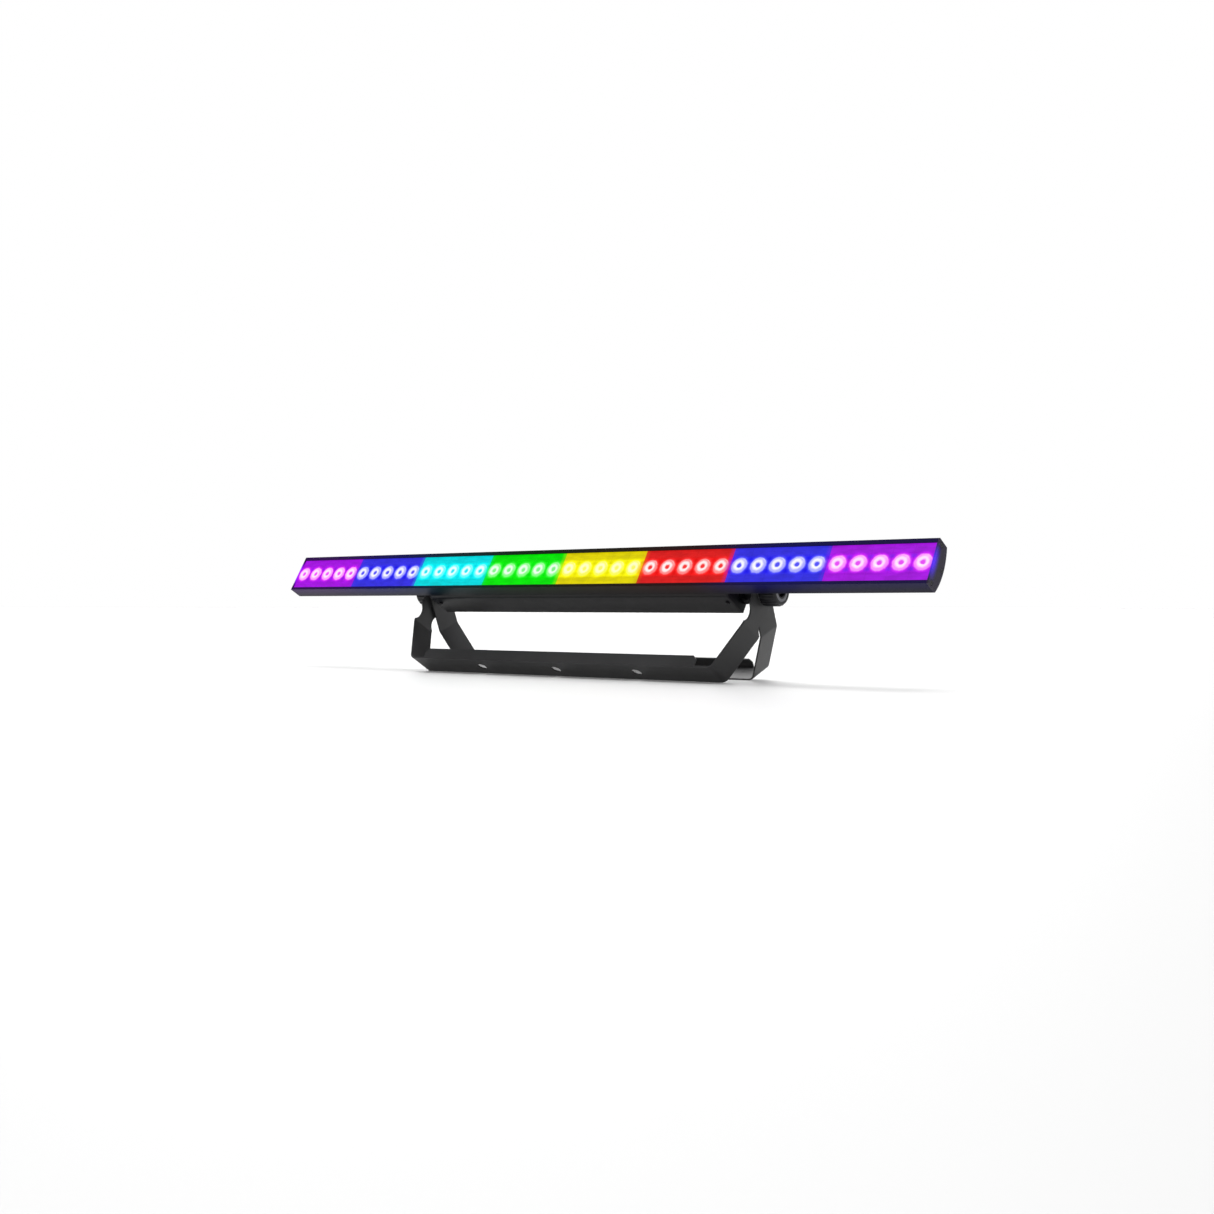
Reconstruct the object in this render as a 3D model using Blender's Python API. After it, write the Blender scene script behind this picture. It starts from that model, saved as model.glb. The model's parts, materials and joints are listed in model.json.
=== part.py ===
"""LED strip batten standing on a folding double yoke.

The batten is a slim aluminium extrusion with eight lens panels in front and a
power box behind. Two nested sheet-metal yokes hang from clamp knobs on the
batten's tilt axis: the outer one leans forward, the inner one leans back, and
together they make the floor stand. X runs along the batten, -Y is the side the
light leaves, +Z is up, and the origin is on the floor under the middle.
"""
import math

import bmesh
import bpy
from mathutils import Matrix, Vector

MM = 0.001
GAP = 0.3 * MM                    # free gap between neighbouring pieces

# --- poses at rest -----------------------------------------------------------
HEAD_TILT = math.radians(31.0)    # batten face looks this far above level
FRONT_LEAN = math.radians(31.0)   # outer yoke leans forward

# --- yokes -------------------------------------------------------------------
SHEET = 2.0 * MM
STRIP_HALF = 18.0 * MM            # half the width of the bent strip
OUTER_DROP = 111.0 * MM           # tilt axis to the outer yoke's base, outside
INNER_DROP = 105.0 * MM
OUTER_BEND_DROP = 52.0 * MM       # tilt axis to the bend between plate and arm
INNER_BEND_DROP = 49.5 * MM
OUTER_FACE_X = 265.5 * MM         # outer faces of the upright plates
INNER_FACE_X = 261.2 * MM
OUTER_ARM_INSET = 24.2 * MM       # how far the arms lean in towards the base
INNER_ARM_INSET = 24.3 * MM
BEND_RADIUS = 8.0 * MM            # of the middle of the sheet
BEND_STEPS = 6
PLATE_TOP_RADIUS = STRIP_HALF
NECK_HALF = 11.5 * MM              # between the two round notches beside the pivot plate
NECK_DROP = 38.0 * MM
NOTCH_RADIUS = 13.4 * MM
OUTER_FLANGE_HEIGHT = 15.0 * MM
INNER_FLANGE_HEIGHT = 12.5 * MM
FLANGE_HALF_LENGTH = 217.0 * MM
FLANGE_CHAMFER = 4.5 * MM
CLAMP_HOLE_RADIUS = 6.5 * MM
CLAMP_HOLE_PITCH = 125.0 * MM

# --- batten head, measured from the front face (depth) and the LED row (up) ----
AXIS_DEPTH = 56.7 * MM            # tilt axis behind the front face
BATTEN_HALF = 500.0 * MM
CAP_THICK = 2.0 * MM
FACE_TOP = 28.0 * MM
FACE_BOTTOM = -26.6 * MM
SIDE_DEPTH = 18.7 * MM
BACK_DEPTH = 24.9 * MM            # deepest point of the bulged back
WALL = 2.0 * MM
WINDOW_HALF = 22.8 * MM
LIP_DEPTH = 1.2 * MM
TROUGH_TOP = 26.3 * MM
TROUGH_BOTTOM = -24.9 * MM
TROUGH_DEPTH = 13.0 * MM
WEB_DEPTH = 15.0 * MM
SCREW_PORTS = ((6.9 * MM, 23.4 * MM), (6.9 * MM, -22.0 * MM), (20.8 * MM, 0.8 * MM))
PORT_RADIUS = 2.9 * MM

# --- optics ------------------------------------------------------------------
SECTIONS = 8
LEDS_PER_SECTION = 5
LED_PITCH = 25.0 * MM
PANEL_FRONT = 1.5 * MM
PANEL_THICK = 2.2 * MM
LENS_RADIUS = 9.8 * MM
LENS_TIP_RADIUS = 4.0 * MM
LENS_TIP_DEPTH = 9.6 * MM
LED_HEIGHT = 1.0 * MM
LED_HALF = 3.5 * MM
BOARD_DEPTH = 11.0 * MM
BOARD_THICK = 1.6 * MM
BOARD_HALF = 19.5 * MM

# --- power box behind the batten ------------------------------------------------
BOX_HALF = 240.0 * MM
BOX_FRONT = BACK_DEPTH + 2 * GAP
BOX_BACK = 66.0 * MM
BOX_RISE = 24.0 * MM
BOX_WALL = 1.6 * MM
BOX_CORNER = 6.0 * MM
BOX_LIP = 7.0 * MM
CONNECTOR_RADIUS = 11.5 * MM
SOCKET_RADIUS = 9.0 * MM
SOCKET_DEPTH = 14.0 * MM
FLANGE_HALF_W = 13.0 * MM
FLANGE_HALF_H = 15.0 * MM
FLANGE_OVERLAP = 1.0 * MM         # of a socket's flange on the edge of its cut-out
FLANGE_THICK = 2.0 * MM
POWER_IN_X = -205.0 * MM
POWER_OUT_X = -165.0 * MM
FUSE_X = -128.0 * MM
EYE_X = -80.0 * MM
DISPLAY_X = -8.0 * MM
BUTTON_XS = (28.0 * MM, 43.0 * MM, 58.0 * MM, 73.0 * MM)
DMX_IN_X = 165.0 * MM
DMX_OUT_X = 205.0 * MM
BUTTON_RADIUS = 4.5 * MM
BUTTON_STEM_RADIUS = 2.0 * MM
FUSE_RADIUS = 6.0 * MM
LEAD_X = 12.0 * MM
LEAD_RADIUS = 2.0 * MM

# --- tilt clamps -------------------------------------------------------------
STUD_RADIUS = 4.0 * MM
STUD_END_X = 281.0 * MM
BOSS_RADIUS = 10.0 * MM
BOSS_FLANGE_RADIUS = 15.0 * MM
WASHER_RADIUS = 15.0 * MM
KNOB_RADIUS = 17.6 * MM
KNOB_END_X = 289.5 * MM
KNOB_LOBES = 20
KNOB_LOBE_HEIGHT = 0.6 * MM

OUTER_EDGE = OUTER_DROP * math.cos(FRONT_LEAN) + STRIP_HALF * math.sin(FRONT_LEAN)
INNER_REACH = math.hypot(INNER_DROP, STRIP_HALF)
REAR_LEAN = math.atan2(STRIP_HALF, INNER_DROP) + math.acos(OUTER_EDGE / INNER_REACH)
FRONT_Y = OUTER_DROP * math.sin(FRONT_LEAN) + STRIP_HALF * math.cos(FRONT_LEAN)
REAR_Y = INNER_DROP * math.sin(REAR_LEAN) + STRIP_HALF * math.cos(REAR_LEAN)
AXIS_POINT = Vector((0.0, (FRONT_Y - REAR_Y) / 2, OUTER_EDGE))

# how an outline's own x, y and extrusion run in the frame of the piece
ALONG_X = Matrix(((0, 0, 1, 0), (1, 0, 0, 0), (0, 1, 0, 0), (0, 0, 0, 1)))
ALONG_Y = Matrix(((1, 0, 0, 0), (0, 0, -1, 0), (0, 1, 0, 0), (0, 0, 0, 1)))
ROUND_PIECE_ANGLE = math.radians(35.0)


# --- scene and materials ---------------------------------------------------------
def clear_scene():
    for old in list(bpy.data.objects):
        bpy.data.objects.remove(old, do_unlink=True)


def new_collection(name):
    made = bpy.data.collections.new(name)
    bpy.context.scene.collection.children.link(made)
    return made


def material(name, color, roughness, metallic=0.0, emission=0.0):
    made = bpy.data.materials.new(name)
    made.use_nodes = True
    shader = made.node_tree.nodes["Principled BSDF"]
    shader.inputs["Base Color"].default_value = (*color, 1.0)
    shader.inputs["Roughness"].default_value = roughness
    shader.inputs["Metallic"].default_value = metallic
    if emission:
        shader.inputs["Emission Color"].default_value = (*color, 1.0)
        shader.inputs["Emission Strength"].default_value = emission
    return made


clear_scene()
PARTS = new_collection("led_strip_batten")
CUTTERS = new_collection("cutters")
BLACK_ALU = material("black_anodised", (0.02, 0.02, 0.022), 0.4, 0.6)
YOKE_PAINT = material("yoke_powder_coat", (0.05, 0.05, 0.052), 0.5)
BLACK_SHEET = material("black_painted_sheet", (0.03, 0.03, 0.032), 0.45)
BLACK_PLASTIC = material("black_plastic", (0.02, 0.02, 0.02), 0.5)
STEEL = material("zinc_steel", (0.6, 0.6, 0.6), 0.35, 1.0)
BLACK_STEEL = material("black_screw_steel", (0.04, 0.04, 0.04), 0.35, 1.0)
BOARD_WHITE = material("led_board", (0.75, 0.75, 0.72), 0.5)
BOARD_GREEN = material("circuit_board", (0.03, 0.2, 0.08), 0.5)
SUPPLY_METAL = material("supply_case", (0.6, 0.6, 0.6), 0.4, 0.9)
LEAD_SLEEVE = material("lead_sleeve", (0.03, 0.03, 0.03), 0.6)
SMOKED_WINDOW = material("display_window", (0.02, 0.03, 0.05), 0.15)
SOCKET_BLUE = material("power_inlet_blue", (0.05, 0.12, 0.5), 0.45)
SOCKET_GREY = material("power_outlet_grey", (0.5, 0.5, 0.5), 0.45)
SECTION_COLORS = (
    ("violet", (0.45, 0.02, 0.85)), ("blue", (0.03, 0.03, 0.85)),
    ("cyan", (0.0, 0.75, 0.8)), ("green", (0.0, 0.8, 0.02)),
    ("yellow", (0.8, 0.7, 0.0)), ("red", (0.8, 0.02, 0.02)),
    ("blue", (0.03, 0.03, 0.85)), ("violet", (0.45, 0.02, 0.85)))


# --- meshes ------------------------------------------------------------------
def mesh_from(bm, name):
    mesh = bpy.data.meshes.new(name)
    bm.to_mesh(mesh)
    bm.free()
    return mesh


def box_mesh(low, high):
    """A block between two opposite corners."""
    bm = bmesh.new()
    bmesh.ops.create_cube(bm, size=1.0)
    size = [b - a for a, b in zip(low, high)]
    middle = [(a + b) / 2 for a, b in zip(low, high)]
    bmesh.ops.scale(bm, vec=size, verts=bm.verts)
    bmesh.ops.translate(bm, vec=middle, verts=bm.verts)
    return mesh_from(bm, "block")


def rod_mesh(radius, start, end, far_radius=None, segments=24):
    """A cylinder or cone between two points."""
    start, end = Vector(start), Vector(end)
    run = end - start
    bm = bmesh.new()
    bmesh.ops.create_cone(bm, cap_ends=True, segments=segments, radius1=radius,
                          radius2=radius if far_radius is None else far_radius,
                          depth=run.length)
    turn = run.to_track_quat("Z", "Y").to_matrix().to_4x4()
    bmesh.ops.transform(bm, matrix=Matrix.Translation((start + end) / 2) @ turn, verts=bm.verts)
    mesh = mesh_from(bm, "rod")
    mesh.shade_smooth()
    mesh.set_sharp_from_angle(angle=ROUND_PIECE_ANGLE)
    return mesh


def welded_mesh(curve_object):
    """The curve object as one closed mesh, with the curve removed."""
    depsgraph = bpy.context.evaluated_depsgraph_get()
    mesh = bpy.data.meshes.new_from_object(curve_object.evaluated_get(depsgraph))
    bpy.data.objects.remove(curve_object, do_unlink=True)
    bm = bmesh.new()
    bm.from_mesh(mesh)
    bmesh.ops.remove_doubles(bm, verts=bm.verts, dist=0.00001)
    bmesh.ops.recalc_face_normals(bm, faces=bm.faces)
    bm.to_mesh(mesh)
    bm.free()
    return mesh


def prism_mesh(outlines, start, end, frame):
    """Closed outlines, the first one solid and the rest holes, extruded in a frame."""
    curve = bpy.data.curves.new("outline", "CURVE")
    curve.dimensions = "2D"
    curve.fill_mode = "BOTH"
    curve.extrude = (end - start) / 2
    for outline in outlines:
        spline = curve.splines.new("POLY")
        spline.points.add(len(outline) - 1)
        for point, (u, v) in zip(spline.points, outline):
            point.co = (u, v, 0.0, 1.0)
        spline.use_cyclic_u = True
    holder = bpy.data.objects.new("outline", curve)
    CUTTERS.objects.link(holder)
    mesh = welded_mesh(holder)
    mesh.transform(frame @ Matrix.Translation((0, 0, (start + end) / 2)))
    return mesh


def arc(center, radius, start, end, steps):
    """Points on an arc, angles in radians, both ends included."""
    turn = (end - start) / steps
    return [(center[0] + radius * math.cos(start + turn * i),
             center[1] + radius * math.sin(start + turn * i)) for i in range(steps + 1)]


# --- objects -----------------------------------------------------------------
def place(name, mesh, parent, paint=None):
    """An object in its parent's frame: a part if it has paint, otherwise a cutter."""
    made = bpy.data.objects.new(name, mesh)
    made.parent = parent
    if paint is None:
        CUTTERS.objects.link(made)
        made.hide_render = True
        made.display_type = "WIRE"
    else:
        PARTS.objects.link(made)
        mesh.materials.clear()
        mesh.materials.append(paint)
    return made


def combine(part, mesh, operation):
    """Cut a tool mesh out of a part, join it on, or keep what they share."""
    tool = place(part.name + "_tool", mesh, part.parent)
    tool.location = part.location
    tool.rotation_euler = part.rotation_euler
    step = part.modifiers.new(operation.lower(), "BOOLEAN")
    step.operation = operation
    step.solver = "EXACT"
    step.object = tool


def cut(part, mesh):
    combine(part, mesh, "DIFFERENCE")


def join(part, mesh):
    combine(part, mesh, "UNION")


def pivot_empty(name, lean):
    """An empty on the tilt axis, leaning about X."""
    made = bpy.data.objects.new(name, None)
    PARTS.objects.link(made)
    made.location = AXIS_POINT
    made.rotation_euler = (lean, 0.0, 0.0)
    return made


def turn_origin(part, point):
    """Move a part's origin to a point of its parent's frame, leaving its shape in place."""
    part.data.transform(Matrix.Translation(-Vector(point)))
    part.location = point


def depth(value):
    """A depth behind the front face as the head frame's y."""
    return value - AXIS_DEPTH


# --- yokes -------------------------------------------------------------------
def round_corners(points, radius, steps):
    """An open line of points with its inner corners rounded, as centre line and normals."""
    rounded = [points[0]]
    for before, corner, after in zip(points, points[1:], points[2:]):
        into = (Vector(corner) - Vector(before)).normalized()
        out = (Vector(after) - Vector(corner)).normalized()
        turn = into.angle_signed(out)
        reach = radius * math.tan(abs(turn) / 2)
        begin = Vector(corner) - into * reach
        side = Vector((into.y, -into.x)) * (1 if turn > 0 else -1)
        center = begin + side * radius
        spoke = begin - center
        for i in range(steps + 1):
            turned = spoke.copy()
            turned.rotate(Matrix.Rotation(-turn * i / steps, 2))
            rounded.append(tuple(center + turned))
    rounded.append(points[-1])
    return rounded


def thick_line(points, thickness):
    """The closed outline of a strip of even thickness along a line of points."""
    left, right = [], []
    for i, point in enumerate(points):
        before = Vector(points[max(i - 1, 0)])
        after = Vector(points[min(i + 1, len(points) - 1)])
        run = (after - before).normalized()
        normal = Vector((-run.y, run.x)) * thickness / 2
        left.append(tuple(Vector(point) + normal))
        right.append(tuple(Vector(point) - normal))
    return left + right[::-1]


def yoke_bend_line(face_x, bend_drop, drop, inset):
    """Centre line of the bent sheet in the X-Z plane, from the right top to the left top."""
    half = SHEET / 2
    right = [(face_x - half, PLATE_TOP_RADIUS), (face_x - half, -bend_drop),
             (face_x - inset - half, -drop + half)]
    return right + [(-x, z) for x, z in right[::-1]]


def side_outline(drop, neck):
    """The strip seen from the side: a round top and straight edges, notched at a neck."""
    top = arc((0.0, 0.0), PLATE_TOP_RADIUS, 0.0, math.pi, 12)
    right = [(STRIP_HALF, -drop - SHEET)]
    if neck:
        middle = NECK_HALF + NOTCH_RADIUS
        spread = math.acos((middle - STRIP_HALF) / NOTCH_RADIUS)
        notch = arc((middle, -NECK_DROP), NOTCH_RADIUS, math.pi - spread, math.pi + spread, 12)
        right = notch + right
    left = [(-y, z) for y, z in right]
    return top + left + right[::-1]


def flange_outline(drop, height):
    """The stiffening flange along the base, with its upper corners cut off."""
    half = FLANGE_HALF_LENGTH
    top = -drop + height
    right = [(half, -drop), (half, top - FLANGE_CHAMFER), (half - FLANGE_CHAMFER, top)]
    return right + [(-x, z) for x, z in right[::-1]]


def make_yoke(name, lean, face_x, bend_drop, drop, inset, flange_side, flange_height, neck):
    line = round_corners(yoke_bend_line(face_x, bend_drop, drop, inset), BEND_RADIUS,
                         BEND_STEPS)
    sheet = prism_mesh([thick_line(line, SHEET)], -STRIP_HALF - SHEET, STRIP_HALF + SHEET,
                       ALONG_Y)
    yoke = place(name, sheet, None, YOKE_PAINT)
    yoke.location = AXIS_POINT
    yoke.rotation_euler = (lean, 0.0, 0.0)
    reach = face_x + SHEET
    combine(yoke, prism_mesh([side_outline(drop, neck)], -reach, reach, ALONG_X), "INTERSECT")
    near, far = STRIP_HALF - SHEET, STRIP_HALF
    low, high = (near, far) if flange_side < 0 else (-far, -near)
    join(yoke, prism_mesh([flange_outline(drop, flange_height)], low, high, ALONG_Y))
    cut(yoke, rod_mesh(STUD_RADIUS + GAP, (-reach, 0, 0), (reach, 0, 0)))
    for step in (-1, 0, 1):
        x = step * CLAMP_HOLE_PITCH
        cut(yoke, rod_mesh(CLAMP_HOLE_RADIUS, (x, 0, -drop - SHEET), (x, 0, -drop + 2 * SHEET)))
    return yoke


# --- batten ------------------------------------------------------------------
def back_arc(inset, steps=12):
    """The bulged back between the two side walls, top to bottom, moved in by an inset."""
    top, bottom = FACE_TOP - inset, FACE_BOTTOM + inset
    middle = (top + bottom) / 2
    half = (top - bottom) / 2
    rise = BACK_DEPTH - SIDE_DEPTH
    radius = (half ** 2 + rise ** 2) / (2 * rise)
    spread = math.asin(half / radius)
    center = (depth(BACK_DEPTH) - inset - radius, middle)
    return arc(center, radius, spread, -spread, steps)


def body_outline():
    """The end view of the whole batten."""
    front = depth(0.0)
    return [(front, FACE_BOTTOM), (front, FACE_TOP)] + back_arc(0.0)


def make_housing(head):
    front, lip = depth(0.0), depth(LIP_DEPTH)
    trough, web = depth(TROUGH_DEPTH), depth(WEB_DEPTH)
    channel = [(front, WINDOW_HALF), (front, FACE_TOP)] + back_arc(0.0)
    channel += [(front, FACE_BOTTOM), (front, -WINDOW_HALF), (lip, -WINDOW_HALF),
                (lip, TROUGH_BOTTOM), (trough, TROUGH_BOTTOM), (trough, TROUGH_TOP),
                (lip, TROUGH_TOP), (lip, WINDOW_HALF)]
    chamber = [(web, FACE_BOTTOM + WALL), (web, FACE_TOP - WALL)] + back_arc(WALL)
    end = BATTEN_HALF - CAP_THICK - GAP
    housing = place("housing_extrusion", prism_mesh([channel, chamber], -end, end, ALONG_X),
                    head, BLACK_ALU)
    for t, v in SCREW_PORTS:
        y = depth(t)
        join(housing, rod_mesh(PORT_RADIUS, (-end, y, v), (end, y, v), segments=12))
    for side in (-1, 1):
        for t, v in SCREW_PORTS:
            y = depth(t)
            cut(housing, rod_mesh(1.8 * MM, (side * (end - 12 * MM), y, v),
                                  (side * (end + 1 * MM), y, v), segments=12))
        cut(housing, rod_mesh(LEAD_RADIUS + 1 * MM, (side * LEAD_X, trough - 1 * MM, 0),
                              (side * LEAD_X, depth(BACK_DEPTH) + 1 * MM, 0), segments=16))


def make_end_caps(head):
    for side, word in ((-1, "left"), (1, "right")):
        near, far = BATTEN_HALF - CAP_THICK, BATTEN_HALF
        low, high = (near, far) if side > 0 else (-far, -near)
        cap = place("end_cap_" + word, prism_mesh([body_outline()], low, high, ALONG_X),
                    head, BLACK_PLASTIC)
        for number, (t, v) in enumerate(SCREW_PORTS, 1):
            y = depth(t)
            cut(cap, rod_mesh(1.8 * MM, (side * (near - MM), y, v), (side * (far + MM), y, v),
                              segments=12))
            # the countersunk head ends flush with the cap
            cut(cap, rod_mesh(3.1 * MM, (side * (far - 1 * MM), y, v), (side * (far + MM), y, v),
                              segments=16))
            make_screw("end_cap_screw_%s_%d" % (word, number), head, (side * far, y, v),
                       (-side, 0, 0), 2.7 * MM, 0.6 * MM, 11 * MM)


def make_screw(name, parent, top, direction, head_radius, head_height, length):
    """A flat-headed screw: head face at a point, shank along a direction."""
    top, direction = Vector(top), Vector(direction)
    under = top + direction * head_height
    screw = place(name, rod_mesh(head_radius, top, under, segments=16), parent, BLACK_STEEL)
    join(screw, rod_mesh(1.5 * MM, under - direction * head_height / 2, top + direction * length,
                         segments=12))
    cut(screw, rod_mesh(head_radius * 0.42, top - direction * MM,
                        top + direction * head_height * 0.6, segments=6))


def led_xs(first, count):
    middle = (SECTIONS * LEDS_PER_SECTION - 1) / 2
    return [(i - middle) * LED_PITCH for i in range(first, first + count)]


def make_lens_panels(head):
    section = LEDS_PER_SECTION * LED_PITCH
    limit = BATTEN_HALF - CAP_THICK - GAP
    y_front, y_back = depth(PANEL_FRONT), depth(PANEL_FRONT + PANEL_THICK)
    for number, (word, color) in enumerate(SECTION_COLORS):
        start = (number - SECTIONS / 2) * section + GAP / 2
        end = start + section - GAP
        low = (max(start, -limit), y_front, TROUGH_BOTTOM + GAP)
        high = (min(end, limit), y_back, TROUGH_TOP - GAP)
        paint = material("lens_" + word, color, 0.2, emission=1.0)
        panel = place("lens_panel_%d" % (number + 1), box_mesh(low, high), head, paint)
        for x in led_xs(number * LEDS_PER_SECTION, LEDS_PER_SECTION):
            join(panel, rod_mesh(LENS_RADIUS, (x, y_back - PANEL_THICK / 2, 0),
                                 (x, depth(LENS_TIP_DEPTH), 0), LENS_TIP_RADIUS, segments=16))


def make_led_boards(head):
    half_count = SECTIONS * LEDS_PER_SECTION // 2
    limit = BATTEN_HALF - CAP_THICK - 2 * GAP
    y = depth(BOARD_DEPTH)
    for first, low_x, high_x, word in ((0, -limit, -GAP, "left"),
                                       (half_count, GAP, limit, "right")):
        board = place("led_board_" + word,
                      box_mesh((low_x, y, -BOARD_HALF), (high_x, y + BOARD_THICK, BOARD_HALF)),
                      head, BOARD_WHITE)
        for x in led_xs(first, half_count):
            join(board, box_mesh((x - LED_HALF, y - LED_HEIGHT, -LED_HALF),
                                 (x + LED_HALF, y + BOARD_THICK / 2, LED_HALF)))


# --- power box ------------------------------------------------------------------
def rounded_rectangle(low_y, high_y, half_z, radius, square_back):
    """An end view of the box, its front corners round and its back ones square or round."""
    quarter = math.pi / 2
    front = arc((low_y + radius, half_z - radius), radius, quarter, 2 * quarter, 5)
    front += arc((low_y + radius, radius - half_z), radius, 2 * quarter, 3 * quarter, 5)
    if square_back:
        return front + [(high_y, -half_z), (high_y, half_z)]
    back = arc((high_y - radius, radius - half_z), radius, 3 * quarter, 4 * quarter, 5)
    return front + back + arc((high_y - radius, half_z - radius), radius, 0, quarter, 5)


def back_face():
    """The head frame's y of the box's outer back face."""
    return depth(BOX_BACK)


def make_box_shell(head):
    low, high = depth(BOX_FRONT), back_face() - BOX_WALL - GAP
    outer = rounded_rectangle(low, high, BOX_RISE, BOX_CORNER, True)
    inner = rounded_rectangle(low + BOX_WALL, high - BOX_WALL, BOX_RISE - BOX_WALL,
                              BOX_CORNER - BOX_WALL, True)
    mouth = BOX_RISE - BOX_LIP
    lip = high - BOX_WALL
    # the folded sheet: its outer side from one lip to the other, then back inside
    folded = [(high, mouth), (high, BOX_RISE)] + outer[:-2] + [(high, -BOX_RISE), (high, -mouth)]
    folded += [(lip, -mouth), (lip, BOX_WALL - BOX_RISE)] + inner[:-2][::-1]
    folded += [(lip, BOX_RISE - BOX_WALL), (lip, mouth)]
    end = BOX_HALF - BOX_WALL - GAP
    shell = place("power_box_shell", prism_mesh([folded], -end, end, ALONG_X), head, BLACK_SHEET)
    for side in (-1, 1):
        cut(shell, rod_mesh(LEAD_RADIUS + 1 * MM, (side * LEAD_X, low - MM, 0),
                            (side * LEAD_X, low + BOX_WALL + MM, 0), segments=16))
        screw_x, screw_y = side * (BOX_HALF - 8 * MM), depth(42 * MM)
        cut(shell, rod_mesh(1.8 * MM, (screw_x, screw_y, -BOX_RISE - MM),
                            (screw_x, screw_y, -BOX_RISE + BOX_WALL + MM), segments=12))
    for x, z in cover_screw_places():
        cut(shell, rod_mesh(1.8 * MM, (x, high - BOX_WALL - MM, z), (x, high + MM, z),
                            segments=12))


def cover_screw_places():
    x, z = BOX_HALF - 10 * MM, BOX_RISE - BOX_WALL - 2.6 * MM
    return [(sx * x, sz * z) for sx in (-1, 1) for sz in (-1, 1)]


def make_box_ends(head):
    low, high = depth(BOX_FRONT), back_face()
    outline = rounded_rectangle(low, high, BOX_RISE, BOX_CORNER, True)
    for side, word in ((-1, "left"), (1, "right")):
        near, far = BOX_HALF - BOX_WALL, BOX_HALF
        ends = (near, far) if side > 0 else (-far, -near)
        plate = place("power_box_end_" + word, prism_mesh([outline], *ends, ALONG_X), head,
                      BLACK_SHEET)
        tab_x = sorted((side * (BOX_HALF - 14 * MM), side * (BOX_HALF - BOX_WALL / 2)))
        tab_low = -BOX_RISE + BOX_WALL + GAP
        join(plate, box_mesh((tab_x[0], depth(35 * MM), tab_low),
                             (tab_x[1], depth(49 * MM), tab_low + BOX_WALL)))
        cut(plate, rod_mesh(STUD_RADIUS + GAP, (side * (near - MM), 0, 0),
                            (side * (far + MM), 0, 0)))
        screw_x, screw_y = side * (BOX_HALF - 8 * MM), depth(42 * MM)
        cut(plate, rod_mesh(1.8 * MM, (screw_x, screw_y, tab_low - MM),
                            (screw_x, screw_y, tab_low + BOX_WALL + MM), segments=12))
        make_screw("box_end_screw_" + word, head, (screw_x, screw_y, -BOX_RISE - 1.9 * MM),
                   (0, 0, 1), 2.8 * MM, 1.6 * MM, 7 * MM)


def circle(x, z, radius, segments=24):
    return arc((x, z), radius, 0.0, 2 * math.pi, segments)[:-1]


def rectangle(x, z, half_x, half_z):
    return [(x - half_x, z - half_z), (x + half_x, z - half_z),
            (x + half_x, z + half_z), (x - half_x, z + half_z)]


def make_back_cover(head):
    outside = back_face()
    inside = outside - BOX_WALL
    cutout_w, cutout_h = FLANGE_HALF_W - FLANGE_OVERLAP, FLANGE_HALF_H - FLANGE_OVERLAP
    outlines = [rectangle(0, 0, BOX_HALF - BOX_WALL - GAP, BOX_RISE),
                rectangle(DISPLAY_X, 0, 17 * MM, 8 * MM),
                circle(FUSE_X, 0, FUSE_RADIUS + GAP)]
    outlines += [rectangle(x, 0, cutout_w, cutout_h)
                 for x in (POWER_IN_X, POWER_OUT_X, DMX_IN_X, DMX_OUT_X)]
    outlines += [circle(x, 0, BUTTON_STEM_RADIUS + GAP, 16) for x in BUTTON_XS]
    outlines += [circle(x, z, 1.8 * MM, 12) for x, z in cover_screw_places()]
    place("power_box_back_cover", prism_mesh(outlines, -outside, -inside, ALONG_Y), head,
          BLACK_SHEET)
    for number, (x, z) in enumerate(cover_screw_places(), 1):
        make_screw("cover_screw_%d" % number, head, (x, outside + 1.9 * MM, z), (0, -1, 0),
                   2.6 * MM, 1.6 * MM, 7 * MM)


def make_connector(name, head, x, paint, core=False):
    """A round chassis socket on a square flange, its mouth towards the back."""
    under = back_face() + GAP
    face = under + FLANGE_THICK
    socket = place(name, box_mesh((x - FLANGE_HALF_W, under, -FLANGE_HALF_H),
                                  (x + FLANGE_HALF_W, face, FLANGE_HALF_H)), head, paint)
    join(socket, rod_mesh(CONNECTOR_RADIUS, (x, face - SOCKET_DEPTH - 3 * MM, 0),
                          (x, face - FLANGE_THICK / 2, 0)))
    cut(socket, rod_mesh(SOCKET_RADIUS, (x, face - SOCKET_DEPTH, 0), (x, face + MM, 0)))
    if core:
        # the insert that carries the three contact holes
        join(socket, rod_mesh(SOCKET_RADIUS - 2 * MM, (x, face - SOCKET_DEPTH - MM, 0),
                              (x, face - MM, 0)))
        for angle in (90, 210, 330):
            ax = x + 3.6 * MM * math.cos(math.radians(angle))
            az = 3.6 * MM * math.sin(math.radians(angle))
            cut(socket, rod_mesh(1.1 * MM, (ax, face - 8 * MM, az), (ax, face, az),
                                 segments=10))
        cut(socket, box_mesh((x - 3 * MM - GAP, under - MM, SOCKET_RADIUS + 1.5 * MM - GAP),
                             (x + 3 * MM + GAP, face + MM, FLANGE_HALF_H - MM)))
    return socket


def make_latch(head):
    """The push tab that releases the plug from the data output."""
    face = back_face() + GAP + FLANGE_THICK
    low_z, high_z = SOCKET_RADIUS + 1.5 * MM, FLANGE_HALF_H - MM - GAP
    latch = place("dmx_output_latch",
                  box_mesh((DMX_OUT_X - 3 * MM, face - 0.5 * MM, low_z),
                           (DMX_OUT_X + 3 * MM, face + 2.0 * MM, high_z)), head, STEEL)
    turn_origin(latch, (DMX_OUT_X, face, (low_z + high_z) / 2))


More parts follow.
